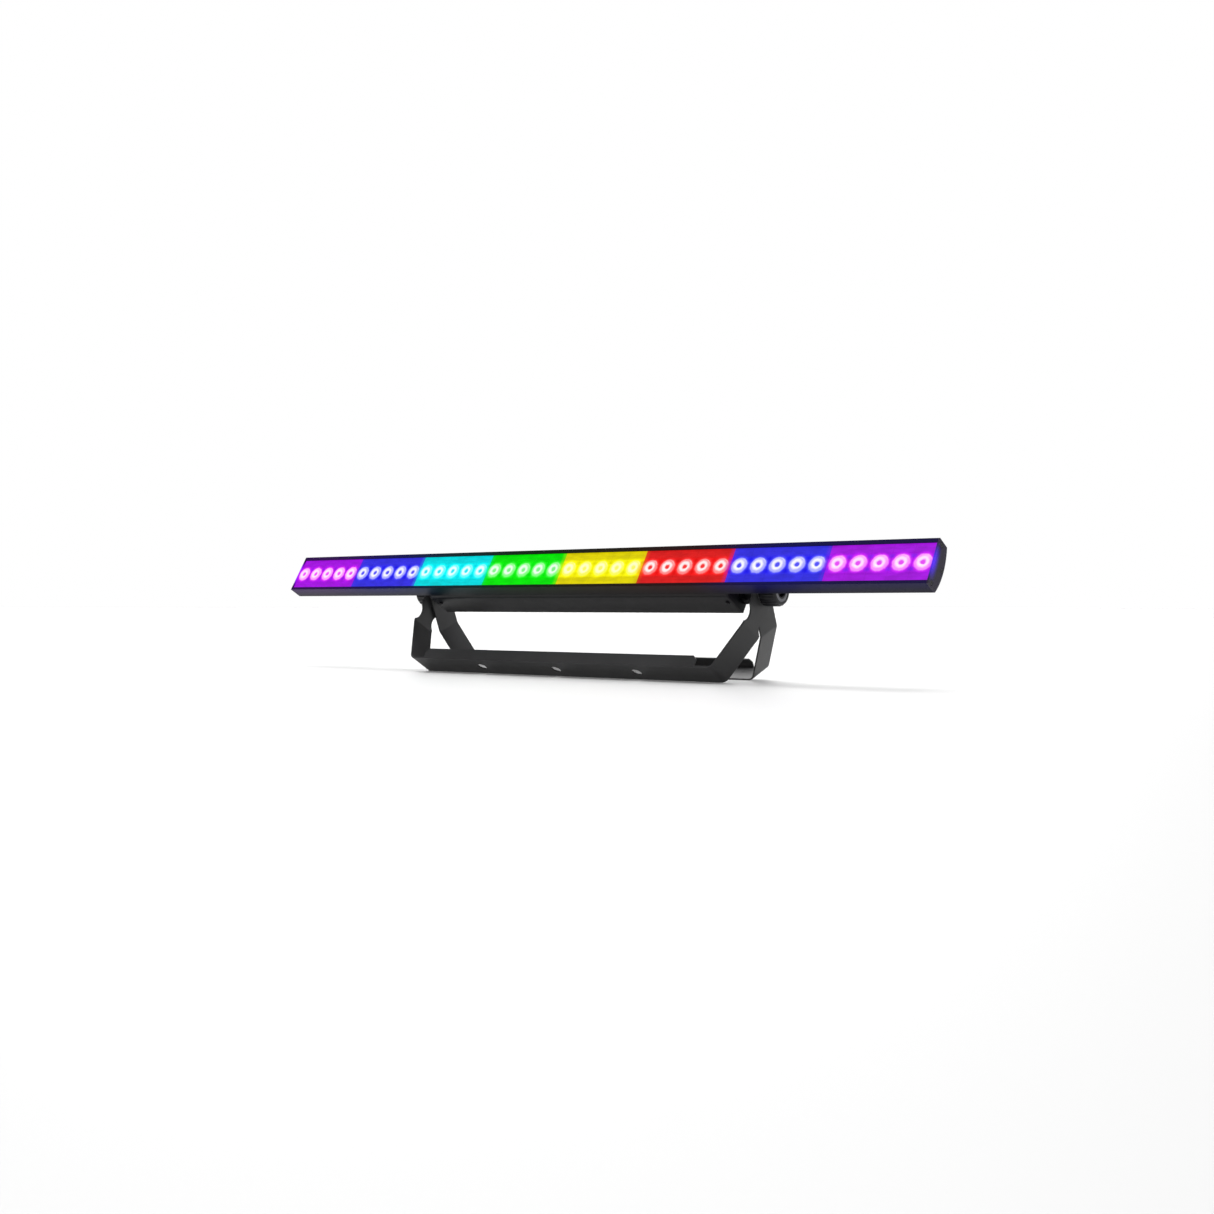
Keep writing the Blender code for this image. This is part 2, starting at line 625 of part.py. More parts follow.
def make_fuse_cap(head):
    outside = back_face()
    cap = place("fuse_cap", rod_mesh(FUSE_RADIUS + 1.5 * MM, (FUSE_X, outside + GAP, 0),
                                     (FUSE_X, outside + 8 * MM, 0)), head, BLACK_PLASTIC)
    join(cap, rod_mesh(FUSE_RADIUS, (FUSE_X, outside - 20 * MM, 0), (FUSE_X, outside + MM, 0)))
    cut(cap, box_mesh((FUSE_X - 4.5 * MM, outside + 6.6 * MM, -0.6 * MM),
                      (FUSE_X + 4.5 * MM, outside + 9 * MM, 0.6 * MM)))
    turn_origin(cap, (FUSE_X, outside, 0))


def make_display(head):
    outside = back_face()
    place("display_window", box_mesh((DISPLAY_X - 16.7 * MM, outside - BOX_WALL, -7.7 * MM),
                                     (DISPLAY_X + 16.7 * MM, outside + 0.5 * MM, 7.7 * MM)),
          head, SMOKED_WINDOW)
    for number, x in enumerate(BUTTON_XS, 1):
        button = place("menu_button_%d" % number,
                       rod_mesh(BUTTON_RADIUS, (x, outside + 1.4 * MM, 0),
                                (x, outside + 3.4 * MM, 0)), head, BLACK_PLASTIC)
        join(button, rod_mesh(BUTTON_STEM_RADIUS, (x, outside - 3.0 * MM, 0),
                              (x, outside + 2 * MM, 0), segments=16))
        turn_origin(button, (x, outside, 0))


def make_safety_eye(head):
    """A bent rod welded on a small plate, for the safety wire."""
    outside = back_face() + GAP
    plate_top = outside + 2 * MM
    eye = place("safety_eye", box_mesh((EYE_X - 17 * MM, outside, -6 * MM),
                                       (EYE_X + 17 * MM, plate_top, 6 * MM)), head, BLACK_SHEET)
    ring, rod = 11 * MM, 2.2 * MM
    lift = 5 * MM
    path = [(EYE_X + ring, plate_top - MM)]
    path += arc((EYE_X, plate_top + lift), ring, 0, math.pi, 12)
    path += [(EYE_X - ring, plate_top - MM)]
    curve = bpy.data.curves.new("eye_path", "CURVE")
    curve.dimensions = "3D"
    curve.bevel_depth = rod
    curve.bevel_resolution = 2
    curve.use_fill_caps = True
    spline = curve.splines.new("POLY")
    spline.points.add(len(path) - 1)
    for point, (x, y) in zip(spline.points, path):
        point.co = (x, y, 0.0, 1.0)
    holder = bpy.data.objects.new("eye_path", curve)
    CUTTERS.objects.link(holder)
    join(eye, welded_mesh(holder))


def make_electronics(head):
    floor_z = -BOX_RISE + BOX_WALL + 1.0 * MM
    place("power_supply", box_mesh((-150 * MM, depth(29 * MM), -17 * MM),
                                   (-38 * MM, depth(43.5 * MM), 17 * MM)), head, SUPPLY_METAL)
    place("led_driver_board", box_mesh((-34 * MM, depth(33.3 * MM), floor_z + 3 * MM),
                                       (110 * MM, depth(34.9 * MM), -floor_z - 3 * MM)), head,
          BOARD_GREEN)
    board = place("control_board",
                  box_mesh((-28 * MM, depth(58.6 * MM), -16 * MM),
                           (84 * MM, depth(60.2 * MM), 16 * MM)), head, BOARD_GREEN)
    # the display module and the processor stand on the board
    join(board, box_mesh((DISPLAY_X - 15 * MM, depth(59.5 * MM), -7 * MM),
                         (DISPLAY_X + 15 * MM, depth(62.5 * MM), 7 * MM)))
    join(board, box_mesh((40 * MM, depth(57 * MM), -6 * MM),
                         (52 * MM, depth(59.5 * MM), 6 * MM)))
    for side, word in ((-1, "left"), (1, "right")):
        place("led_lead_" + word,
              rod_mesh(LEAD_RADIUS,
                       (side * LEAD_X, depth(BOARD_DEPTH + BOARD_THICK) + GAP, 0),
                       (side * LEAD_X, depth(33.3 * MM) - GAP, 0), segments=12),
              head, LEAD_SLEEVE)


# --- tilt clamps -------------------------------------------------------------
def lobed_circle(radius, lobes, height, steps=4):
    count = lobes * steps
    turn = 2 * math.pi / count
    return [((radius - height + height * math.cos(lobes * turn * i)) * math.cos(turn * i),
             (radius - height + height * math.cos(lobes * turn * i)) * math.sin(turn * i))
            for i in range(count)]


def make_clamps(head):
    inner_start = INNER_FACE_X - SHEET
    for side, word in ((-1, "left"), (1, "right")):
        def ring(name, radius, bore, start, end, paint, side=side):
            made = place(name, rod_mesh(radius, (side * start, 0, 0), (side * end, 0, 0)), head,
                         paint)
            cut(made, rod_mesh(bore, (side * (start - MM), 0, 0), (side * (end + MM), 0, 0)))
            return made

        bore = STUD_RADIUS + GAP
        flange_end = BOX_HALF + GAP + 3 * MM
        boss = place("pivot_boss_" + word,
                     rod_mesh(BOSS_FLANGE_RADIUS, (side * (BOX_HALF + GAP), 0, 0),
                              (side * flange_end, 0, 0)), head, BLACK_ALU)
        boss_end = inner_start - GAP
        join(boss, rod_mesh(BOSS_RADIUS, (side * (flange_end - MM), 0, 0),
                            (side * boss_end, 0, 0)))
        cut(boss, rod_mesh(bore, (side * BOX_HALF, 0, 0), (side * (boss_end + MM), 0, 0)))
        place("pivot_stud_" + word,
              rod_mesh(STUD_RADIUS, (side * (BOX_HALF - 9 * MM), 0, 0),
                       (side * STUD_END_X, 0, 0)), head, STEEL)
        ring("friction_washer_" + word, WASHER_RADIUS, bore, INNER_FACE_X + GAP,
             OUTER_FACE_X - SHEET - GAP, BLACK_PLASTIC)
        knob_start = OUTER_FACE_X + 1.8 * MM
        ring("knob_washer_" + word, WASHER_RADIUS, bore, OUTER_FACE_X + GAP,
             knob_start - GAP, STEEL)
        make_knob("clamp_knob_" + word, head, side, knob_start)


def make_knob(name, head, side, start):
    grip_end = KNOB_END_X - 1.5 * MM
    ends = sorted((side * start, side * grip_end))
    knob = place(name, prism_mesh([lobed_circle(KNOB_RADIUS, KNOB_LOBES, KNOB_LOBE_HEIGHT)],
                                  *ends, ALONG_X), head, BLACK_PLASTIC)
    join(knob, rod_mesh(KNOB_RADIUS - 2 * MM, (side * (grip_end - MM), 0, 0),
                        (side * KNOB_END_X, 0, 0), segments=40))
    cut(knob, rod_mesh(STUD_RADIUS + GAP, (side * (start - MM), 0, 0),
                       (side * (STUD_END_X + GAP), 0, 0)))
    cut(knob, rod_mesh(5.0 * MM, (side * (KNOB_END_X - 4.5 * MM), 0, 0),
                       (side * (KNOB_END_X + MM), 0, 0)))


def build():
    make_yoke("front_yoke", -FRONT_LEAN, OUTER_FACE_X, OUTER_BEND_DROP, OUTER_DROP,
              OUTER_ARM_INSET, -1, OUTER_FLANGE_HEIGHT, True)
    make_yoke("rear_yoke", REAR_LEAN, INNER_FACE_X, INNER_BEND_DROP, INNER_DROP,
              INNER_ARM_INSET, 1, INNER_FLANGE_HEIGHT, False)
    head = pivot_empty("head_frame", -HEAD_TILT)
    make_housing(head)
    make_end_caps(head)
    make_lens_panels(head)
    make_led_boards(head)
    make_box_shell(head)
    make_box_ends(head)
    make_back_cover(head)
    make_electronics(head)
    make_connector("power_inlet", head, POWER_IN_X, SOCKET_BLUE)
    make_connector("power_outlet", head, POWER_OUT_X, SOCKET_GREY)
    make_connector("dmx_input", head, DMX_IN_X, BLACK_PLASTIC)
    make_connector("dmx_output", head, DMX_OUT_X, BLACK_PLASTIC, core=True)
    make_latch(head)
    make_fuse_cap(head)
    make_display(head)
    make_safety_eye(head)
    make_clamps(head)
    bpy.context.view_layer.update()


build()
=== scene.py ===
import json
import math

import bmesh
import bpy
from mathutils import Matrix, Vector

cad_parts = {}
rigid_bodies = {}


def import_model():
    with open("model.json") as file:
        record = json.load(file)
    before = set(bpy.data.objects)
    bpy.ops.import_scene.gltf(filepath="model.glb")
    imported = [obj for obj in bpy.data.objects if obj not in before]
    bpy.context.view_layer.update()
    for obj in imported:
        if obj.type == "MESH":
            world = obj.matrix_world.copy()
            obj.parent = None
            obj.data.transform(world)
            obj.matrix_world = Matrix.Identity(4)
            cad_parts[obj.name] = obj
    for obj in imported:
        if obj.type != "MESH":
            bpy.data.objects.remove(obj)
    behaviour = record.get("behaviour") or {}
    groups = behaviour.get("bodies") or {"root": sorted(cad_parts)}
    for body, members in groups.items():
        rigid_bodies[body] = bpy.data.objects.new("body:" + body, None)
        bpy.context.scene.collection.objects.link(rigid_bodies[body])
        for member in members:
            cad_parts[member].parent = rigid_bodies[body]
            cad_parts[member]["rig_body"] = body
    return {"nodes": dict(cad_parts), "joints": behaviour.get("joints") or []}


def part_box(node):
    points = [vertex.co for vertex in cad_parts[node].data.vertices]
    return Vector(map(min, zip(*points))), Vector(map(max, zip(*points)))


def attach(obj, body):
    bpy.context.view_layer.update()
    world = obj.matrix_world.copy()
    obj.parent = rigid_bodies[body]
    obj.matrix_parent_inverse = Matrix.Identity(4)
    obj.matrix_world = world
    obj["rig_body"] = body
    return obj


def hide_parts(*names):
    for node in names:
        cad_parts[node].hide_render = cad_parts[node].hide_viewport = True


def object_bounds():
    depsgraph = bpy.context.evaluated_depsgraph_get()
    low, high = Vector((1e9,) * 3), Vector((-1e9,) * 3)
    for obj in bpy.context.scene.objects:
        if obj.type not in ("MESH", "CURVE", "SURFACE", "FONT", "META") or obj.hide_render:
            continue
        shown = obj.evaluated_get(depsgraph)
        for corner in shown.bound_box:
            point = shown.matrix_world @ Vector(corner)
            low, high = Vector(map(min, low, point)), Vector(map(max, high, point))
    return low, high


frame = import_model()
cad_low, cad_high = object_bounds()

MM = 0.001
JOINTS = {joint["name"]: joint for joint in frame["joints"]}
AXIS_POINT = Vector(JOINTS["head_tilt"]["pos_m"])
PUSH = Vector(JOINTS["button_1_press"]["axis"])        # into the back of the power box
HEAD_TILT = math.atan2(PUSH.z, -PUSH.y)
# the batten's own frame: x along it, y away from the lit side, z up the lit face
HEAD = Matrix.Translation(AXIS_POINT) @ Matrix.Rotation(-HEAD_TILT, 4, "X")
WORLD = Matrix.Identity(4)

SHARP_ANGLE = math.radians(32.0)
LED_PITCH = 25.0 * MM
LEDS_PER_SECTION = 5
SECTION_LENGTH = LED_PITCH * LEDS_PER_SECTION

# the clear front of a section
PLATE_THICK = 2.2 * MM
CELL_HALF = 12.5 * MM             # half the height of the reflector cells
RIB_HALF = 0.35 * MM              # half the width of the ribs between the cells
RIB_RISE = 0.3 * MM
RIB_END_GAP = 0.2 * MM
GROOVE_HEIGHT = 17.4 * MM         # fine lines along the panel's edges
LIT_RADIUS = 16.0 * MM            # where the glow round an LED has faded out

# the clamp knobs
KNOB_RIBS = 20
KNOB_STEPS = KNOB_RIBS * 8        # points round the knob
KNOB_BORE = 4.3 * MM
KNOB_BORE_DEPTH = 14.0 * MM
KNOB_SUNK_RADIUS = 7.0 * MM
KNOB_SUNK_DEPTH = 5.5 * MM

# the contacts inside the sockets
CONTACTS = 3
CONTACT_SUNK = 4.0 * MM           # of a contact's tip below the socket's face
CONTACT_LENGTH = 10.2 * MM

# the studio and the camera
FLOOR_REACH = 30.0
SENSOR_WIDTH = 36.0
LENS = 42.78
CAMERA_FROM_LEDS = (1.1572, -1.3565, -0.0447)
CAMERA_PITCH = math.radians(90.0 - 0.092)
CAMERA_YAW = math.radians(38.62)

# display colours of each kind of section: face, darker bands above and below the lenses,
# core of an LED, its bright ring, the lens disc round it, the glow outside the lens, and
# the deep spots at the corners of the reflector cells
LIT = {
    "orchid": ((176, 14, 234), (160, 16, 220), (238, 76, 246), (255, 236, 255),
               (255, 168, 255), (236, 44, 252), (140, 24, 236)),
    "violet": ((168, 14, 230), (158, 22, 214), (228, 78, 238), (255, 228, 255),
               (250, 146, 255), (224, 46, 250), (116, 34, 236)),
    "blue": ((44, 38, 232), (52, 48, 216), (84, 82, 240), (250, 250, 255),
             (176, 176, 255), (80, 80, 255), (12, 4, 236)),
    "cyan": ((0, 240, 244), (0, 210, 216), (30, 222, 236), (240, 255, 255),
             (110, 250, 255), (20, 255, 255), (0, 206, 226)),
    "green": ((0, 238, 0), (0, 222, 0), (130, 236, 140), (240, 255, 240),
              (140, 255, 140), (60, 246, 60), (0, 214, 10)),
    "yellow": ((244, 240, 0), (214, 200, 0), (242, 240, 110), (252, 252, 200),
               (246, 246, 100), (250, 248, 16), (222, 214, 0)),
    "red": ((240, 20, 20), (208, 28, 28), (238, 52, 52), (255, 244, 244),
            (255, 140, 140), (252, 54, 54), (222, 8, 8)),
}
SECTIONS = ("orchid", "blue", "cyan", "green", "yellow", "red", "blue", "violet")
# light that each section throws on the metal round it
SPILL = ((150, 16, 236), (40, 24, 255), (0, 120, 130), (20, 110, 20), (96, 80, 10),
         (120, 26, 26), (24, 12, 236), (58, 8, 190))


# --- materials ---------------------------------------------------------------
def linear(color):
    """Scene-linear values of a display colour given from 0 to 255."""
    return tuple(((c / 255 + 0.055) / 1.055) ** 2.4 if c > 10 else c / 255 / 12.92
                 for c in color)


class Nodes:
    """A material with a Principled shader and short calls for what feeds it."""

    def __init__(self, name, color, roughness, metallic=0.0):
        self.material = bpy.data.materials.new(name)
        self.material.use_nodes = True
        self.tree = self.material.node_tree
        self.shader = self.tree.nodes["Principled BSDF"]
        self.set("Base Color", (*color, 1.0))
        self.set("Roughness", roughness)
        self.set("Metallic", metallic)
        self.place = self.tree.nodes.new("ShaderNodeTexCoord").outputs["Object"]

    def set(self, socket, value):
        self.shader.inputs[socket].default_value = value

    def link(self, output, socket):
        self.tree.links.new(output, self.shader.inputs[socket])

    def add(self, kind, links=(), **values):
        node = self.tree.nodes.new(kind)
        for key, value in values.items():
            setattr(node, key, value)
        for socket, source in links:
            if hasattr(source, "is_output"):
                self.tree.links.new(source, node.inputs[socket])
            else:
                node.inputs[socket].default_value = source
        return node

    def math(self, operation, a, b=0.0, c=0.0):
        return self.add("ShaderNodeMath", ((0, a), (1, b), (2, c)),
                        operation=operation).outputs[0]

    def xyz(self):
        split = self.add("ShaderNodeSeparateXYZ", (("Vector", self.place),))
        return tuple(split.outputs)

    def scaled(self, value, from_low, from_high, to_low, to_high, kind="LINEAR"):
        return self.add("ShaderNodeMapRange", (("Value", value), ("From Min", from_low),
                                               ("From Max", from_high), ("To Min", to_low),
                                               ("To Max", to_high)),
                        interpolation_type=kind).outputs[0]

    def between(self, value, zero_at, one_at):
        """0 to 1 in a smooth step."""
        if zero_at < one_at:
            return self.scaled(value, zero_at, one_at, 0.0, 1.0, "SMOOTHSTEP")
        return self.scaled(value, one_at, zero_at, 1.0, 0.0, "SMOOTHSTEP")

    def mix(self, factor, a, b):
        """A blend of two colours, each a node's output or plain values."""
        links = [(socket, source if hasattr(source, "is_output") else (*source, 1.0))
                 for socket, source in ((0, factor), (6, a), (7, b))]
        return self.add("ShaderNodeMix", links, data_type="RGBA").outputs[2]

    def along_sections(self, stops, interpolation):
        """A colour that changes along the batten, with stops from 0 to 1."""
        x = self.xyz()[0]
        along = self.math("MULTIPLY_ADD", x, 1.0 / (len(SECTIONS) * SECTION_LENGTH), 0.5)
        return self.ramp(along, stops, interpolation)

    def stretched(self, scale):
        """Object coordinates stretched by three factors."""
        return self.add("ShaderNodeMapping", (("Vector", self.place), ("Scale", scale))).outputs[0]

    def noise(self, scale, detail=3.0, vector=None, roughness=0.55):
        node = self.add("ShaderNodeTexNoise",
                        (("Vector", vector or self.place), ("Scale", scale),
                         ("Detail", detail), ("Roughness", roughness)))
        return node.outputs["Fac"]

    def ramp(self, factor, stops, interpolation="LINEAR"):
        node = self.add("ShaderNodeValToRGB", (("Fac", factor),))
        ramp = node.color_ramp
        ramp.interpolation = interpolation
        while len(ramp.elements) < len(stops):
            ramp.elements.new(0.5)
        for element, (at, _) in zip(ramp.elements, stops):
            element.position = at
        for element, (_, color) in zip(ramp.elements, stops):
            element.color = (*color, 1.0)
        return node.outputs["Color"]

    def vary(self, socket, factor, low, high):
        self.link(self.scaled(factor, 0.0, 1.0, low, high), socket)

    def bump(self, height, strength, distance):
        node = self.add("ShaderNodeBump", (("Height", height), ("Strength", strength),
                                           ("Distance", distance)))
        self.link(node.outputs[0], "Normal")


def powder_coat(name, color, roughness):
    """Fine orange-peel texture with faint cloudy wear."""
    m = Nodes(name, color, roughness)
    cloud = m.noise(9.0, 4.0)
    light = tuple(c * 1.45 for c in color)
    m.link(m.ramp(cloud, ((0.35, color), (0.75, light))), "Base Color")
    grain = m.noise(1900.0, 2.0)
    m.vary("Roughness", m.noise(60.0, 3.0), roughness - 0.07, roughness + 0.09)
    m.bump(grain, 0.35, 0.00012)
    m.set("Specular IOR Level", 0.3)
    return m


def anodised(name, color, roughness):
    """Extruded aluminium: die lines along X under a black anodised skin."""
    m = Nodes(name, color, roughness)
    lines = m.noise(1.0, 4.0, m.stretched((3.0, 900.0, 900.0)))
    light = tuple(c * 1.6 for c in color)
    m.link(m.ramp(lines, ((0.3, color), (0.8, light))), "Base Color")
    m.vary("Roughness", lines, roughness - 0.08, roughness + 0.08)
    m.bump(lines, 0.25, 0.00006)
    m.set("Specular IOR Level", 0.10)
    return m


def moulded(name, color, roughness):
    """Moulded plastic with a fine spark-eroded grain."""
    m = Nodes(name, color, roughness)
    grain = m.noise(1300.0, 2.0)
    tone = m.noise(35.0, 3.0)
    m.link(m.ramp(tone, ((0.3, color), (0.8, tuple(c * 1.25 + 0.002 for c in color)))),
           "Base Color")
    m.vary("Roughness", tone, roughness - 0.06, roughness + 0.08)
    m.bump(grain, 0.22, 0.0001)
    return m


def plated(name, color, roughness):
    """Zinc or oxide plated steel with turning marks and faint stains."""
    m = Nodes(name, color, roughness, 1.0)
    marks = m.noise(420.0, 4.0)
    dark = tuple(c * 0.72 for c in color)
    m.link(m.ramp(m.noise(70.0, 4.0), ((0.3, dark), (0.7, color))), "Base Color")
    m.vary("Roughness", marks, roughness - 0.08, roughness + 0.14)
    m.bump(marks, 0.12, 0.00005)
    return m


def circuit(name, color):
    """Solder mask with copper traces showing faintly through."""
    m = Nodes(name, color, 0.42)
    brick = m.add("ShaderNodeTexBrick", (("Vector", m.stretched((160.0, 160.0, 160.0))),
                                         ("Scale", 1.0), ("Mortar Size", 0.03),
                                         ("Color1", (*color, 1.0)),
                                         ("Color2", (*(c * 0.8 for c in color), 1.0)),
                                         ("Mortar", (*(c * 1.5 + 0.01 for c in color), 1.0))))
    m.link(brick.outputs["Color"], "Base Color")
    m.vary("Roughness", m.noise(200.0), 0.3, 0.5)
    return m


def add_spill(m, strength, reach, power=1.0, tall=80 * MM, reach_above=None):
    """Light of the sections spilling on to the metal beside them: strongest at the face."""
    _, y, z = m.xyz()
    colors = [((i + 0.5) / len(SPILL), linear(color)) for i, color in enumerate(SPILL)]
    near = m.math("POWER", m.between(y, FACE_Y + reach, FACE_Y), power)
    near = m.math("MULTIPLY", near, m.between(m.math("ABSOLUTE", z), tall, 0.0))
    if reach_above:
        # above the middle the light reaches less far back
        low = m.between(z, 5.0 * MM, 0.0)
        near = m.math("MULTIPLY", near, m.math("MAXIMUM", low,
                                               m.between(y, FACE_Y + reach_above, FACE_Y)))
    spill = m.add("ShaderNodeVectorMath", ((0, m.along_sections(colors, "EASE")),
                                           (3, m.math("MULTIPLY", near, strength))),
                  operation="SCALE")
    m.link(spill.outputs[0], "Emission Color")
    m.set("Emission Strength", 1.0)
    return m


def neighbours():
    """Stops along the batten: over each half section, the colour of the section beside it."""
    stops = []
    for i in range(len(SECTIONS)):
        for half, other in ((0, i - 1), (1, i + 1)):
            word = SECTIONS[min(max(other, 0), len(SECTIONS) - 1)]
            stops.append(((i + half / 2) / len(SECTIONS), linear(LIT[word][0])))
    return stops


def lit_lens(word):
    """A lens panel lit from behind: white rings round coloured cores, one per LED."""
    face, band, core, ring, disc, glow, deep = (linear(c) for c in LIT[word])
    m = Nodes("lit_lens_" + word, tuple(0.1 * c for c in face), 0.3)
    m.set("Specular IOR Level", 0.2)
    x, _, z = m.xyz()
    height = m.math("ABSOLUTE", z)
    cell = m.math("FRACT", m.math("MULTIPLY", x, 1.0 / LED_PITCH))
    across = m.math("MULTIPLY", m.math("SUBTRACT", cell, 0.5), LED_PITCH)
    aside = m.math("ABSOLUTE", across)
    flat = m.add("ShaderNodeCombineXYZ", (("X", across), ("Y", z)))
    far = m.add("ShaderNodeVectorMath", ((0, flat.outputs[0]),), operation="LENGTH")
    swirl = m.math("SUBTRACT", m.noise(230.0, 4.0), 0.5)
    radius = m.math("MULTIPLY_ADD", swirl, 2.7 * MM, far.outputs["Value"])
    lens = m.ramp(m.math("MULTIPLY", radius, 1 / LIT_RADIUS),
                  ((0.0, core), (0.14, core), (0.27, ring), (0.36, ring), (0.51, disc),
                   (0.58, disc), (0.69, glow), (0.95, face)))
    # the reflector is brightest in a wide band along the lenses
    beyond = m.between(height, 9.0 * MM, 14.0 * MM)
    back = m.mix(beyond, face, band)
    inside = m.between(radius, 14.5 * MM, 9.5 * MM)
    lit = m.mix(inside, back, lens)
    # deep spots where the reflector cells meet, above and below the middle
    level = m.math("ABSOLUTE", m.math("SUBTRACT", height, 8.0 * MM))
    corner = m.math("MULTIPLY", m.between(level, 3.6 * MM, 0.8 * MM),
                    m.between(aside, 7.5 * MM, 11.0 * MM))
    lit = m.mix(m.math("MULTIPLY", corner, 0.6), lit, deep)
    # light of the next section shows through the end of a panel, most at the LEDs' height
    part = m.math("FRACT", m.math("MULTIPLY", x, 1.0 / SECTION_LENGTH))
    edge = m.math("SUBTRACT", 0.5, m.math("ABSOLUTE", m.math("SUBTRACT", part, 0.5)))
    bleed = m.between(edge, 7.0 * MM / SECTION_LENGTH, 1.0 * MM / SECTION_LENGTH)
    share = m.math("MULTIPLY_ADD", m.between(height, 13.0 * MM, 4.0 * MM), 0.34, 0.14)
    share = m.math("MULTIPLY", share, m.scaled(part, 0.499, 0.501, 0.3, 1.0))
    lit = m.mix(m.math("MULTIPLY", bleed, share), lit, m.along_sections(neighbours(), "CONSTANT"))
    # fine moulded lines at the cell borders and along the edges, and cloudy streaks
    border = m.between(aside, 11.8 * MM, 12.2 * MM)
    from_groove = m.math("ABSOLUTE", m.math("SUBTRACT", height, GROOVE_HEIGHT))
    groove = m.between(from_groove, 0.5 * MM, 0.2 * MM)
    streak = m.noise(1.0, 3.0, m.stretched((60.0, 40.0, 160.0)))
    shade = m.scaled(streak, 0.35, 0.65, 0.84, 1.07)
    shade = m.math("SUBTRACT", shade, m.math("MULTIPLY", m.math("MAXIMUM", border, groove), 0.09))
    steady = m.math("MULTIPLY", inside, 0.75)
    shade = m.math("MULTIPLY_ADD", steady, m.math("SUBTRACT", 1.0, shade), shade)
    lit = m.add("ShaderNodeVectorMath", ((0, lit), (3, shade)), operation="SCALE").outputs[0]
    m.link(lit, "Emission Color")
    m.set("Emission Strength", 1.0)
    m.bump(m.noise(700.0, 2.0), 0.08, 0.0001)
    return m


def local_box(node, matrix):
    """A node's lowest and highest corner in another frame."""
    inverse = matrix.inverted()
    points = [inverse @ v.co for v in frame["nodes"][node].data.vertices]
    low = Vector([min(p[i] for p in points) for i in range(3)])
    high = Vector([max(p[i] for p in points) for i in range(3)])
    return low, high


FACE_Y = local_box("housing_extrusion", HEAD)[0].y

HOUSING = add_spill(anodised("black_anodised", (0.004, 0.004, 0.005), 0.34), 0.10, 34 * MM, 2.4,
                    reach_above=5 * MM)
CAP = add_spill(moulded("cap_plastic", (0.012, 0.007, 0.028), 0.38), 1.7, 13 * MM, 1.5,
                24 * MM)
CAP.set("Specular IOR Level", 0.28)
YOKE = powder_coat("yoke_powder_coat", (0.038, 0.038, 0.039), 0.38)
SHEET = add_spill(powder_coat("box_powder_coat", (0.008, 0.008, 0.009), 0.36), 0.012, 62 * MM)
BLACK = moulded("black_plastic", (0.012, 0.012, 0.013), 0.45)
BUTTON = moulded("button_rubber", (0.055, 0.055, 0.058), 0.55)
BOSS = anodised("boss_anodised", (0.004, 0.004, 0.005), 0.42)
STEEL = plated("zinc_steel", (0.62, 0.62, 0.60), 0.34)
OXIDE = plated("black_screw_steel", (0.07, 0.07, 0.075), 0.36)
SUPPLY = plated("supply_case", (0.66, 0.67, 0.68), 0.42)
LED_BOARD = circuit("led_board", (0.74, 0.74, 0.70))
GREEN_BOARD = circuit("circuit_board", (0.03, 0.20, 0.08))
SLEEVE = moulded("lead_sleeve", (0.03, 0.03, 0.03), 0.6)
WINDOW = moulded("display_window", (0.012, 0.02, 0.03), 0.14)
INLET = moulded("power_inlet_blue", (0.03, 0.09, 0.42), 0.42)
OUTLET = moulded("power_outlet_grey", (0.42, 0.42, 0.41), 0.42)
# lighter grey ring on the knob's end: partly a lighter plastic face, partly a painted sheen of the
# satin black end
KNOB_FACE_AND_SHEEN = moulded("knob_face_and_painted_sheen", (0.13, 0.13, 0.145), 0.36)
KNOB = moulded("knob_plastic", (0.007, 0.007, 0.009), 0.40)
KNOB.set("Specular IOR Level", 0.35)


# --- pieces ------------------------------------------------------------------
def new_piece(name, bm, paint, body, matrix=WORLD):
    """A mesh piece at a frame, shaded by angle, painted and riding on a body."""
    mesh = bpy.data.meshes.new(name)
    bm.to_mesh(mesh)
    bm.free()
    mesh.shade_smooth()
    mesh.set_sharp_from_angle(angle=SHARP_ANGLE)
    mesh.materials.append(paint.material)
    made = bpy.data.objects.new(name, mesh)
    bpy.context.scene.collection.objects.link(made)
    made.matrix_world = matrix
    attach(made, body)
    return made


def refined(node, paint, bevel, matrix=HEAD, segments=2, merge=True):
    """The CAD node's shape with its edges rounded and, with merge, its flat facets joined."""
    source = frame["nodes"][node]
    bm = bmesh.new()
    bm.from_mesh(source.data)
    bmesh.ops.transform(bm, matrix=matrix.inverted(), verts=bm.verts)
    bmesh.ops.remove_doubles(bm, verts=bm.verts, dist=1e-6)
    if merge:
        bmesh.ops.dissolve_limit(bm, angle_limit=math.radians(1.0), verts=bm.verts,
                                 edges=bm.edges)
    made = new_piece(node + "_finish", bm, paint, source["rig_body"], matrix)
    rounding = made.modifiers.new("edges", "BEVEL")
    rounding.width = bevel
    rounding.segments = segments
    rounding.limit_method = "ANGLE"
    rounding.angle_limit = SHARP_ANGLE
    rounding.harden_normals = True
    rounding.use_clamp_overlap = True
    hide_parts(node)


def repaint(node, paint):
    """Keeps a CAD node's shape and gives it a finish."""
    target = frame["nodes"][node]
    target.data.materials.clear()
    target.data.materials.append(paint.material)


def lathe(bm, profile, center, segments=32):
    """Spins (radius, height) points round the y axis at a centre, heights towards -y."""
    rings = []
    for radius, height in profile:
        at = Vector(center) + Vector((0, -height, 0))
        if radius < 1e-9:
            rings.append([bm.verts.new(at)])
            continue
        rings.append([bm.verts.new(at + Vector((radius * math.cos(2 * math.pi * i / segments), 0,
                                                radius * math.sin(2 * math.pi * i / segments))))
                      for i in range(segments)])
    for a, b in zip(rings, rings[1:]):
        for i in range(segments):
            j = (i + 1) % segments
            corners = [a[i % len(a)], a[j % len(a)], b[j % len(b)], b[i % len(b)]]
            bm.faces.new(list(dict.fromkeys(corners)))


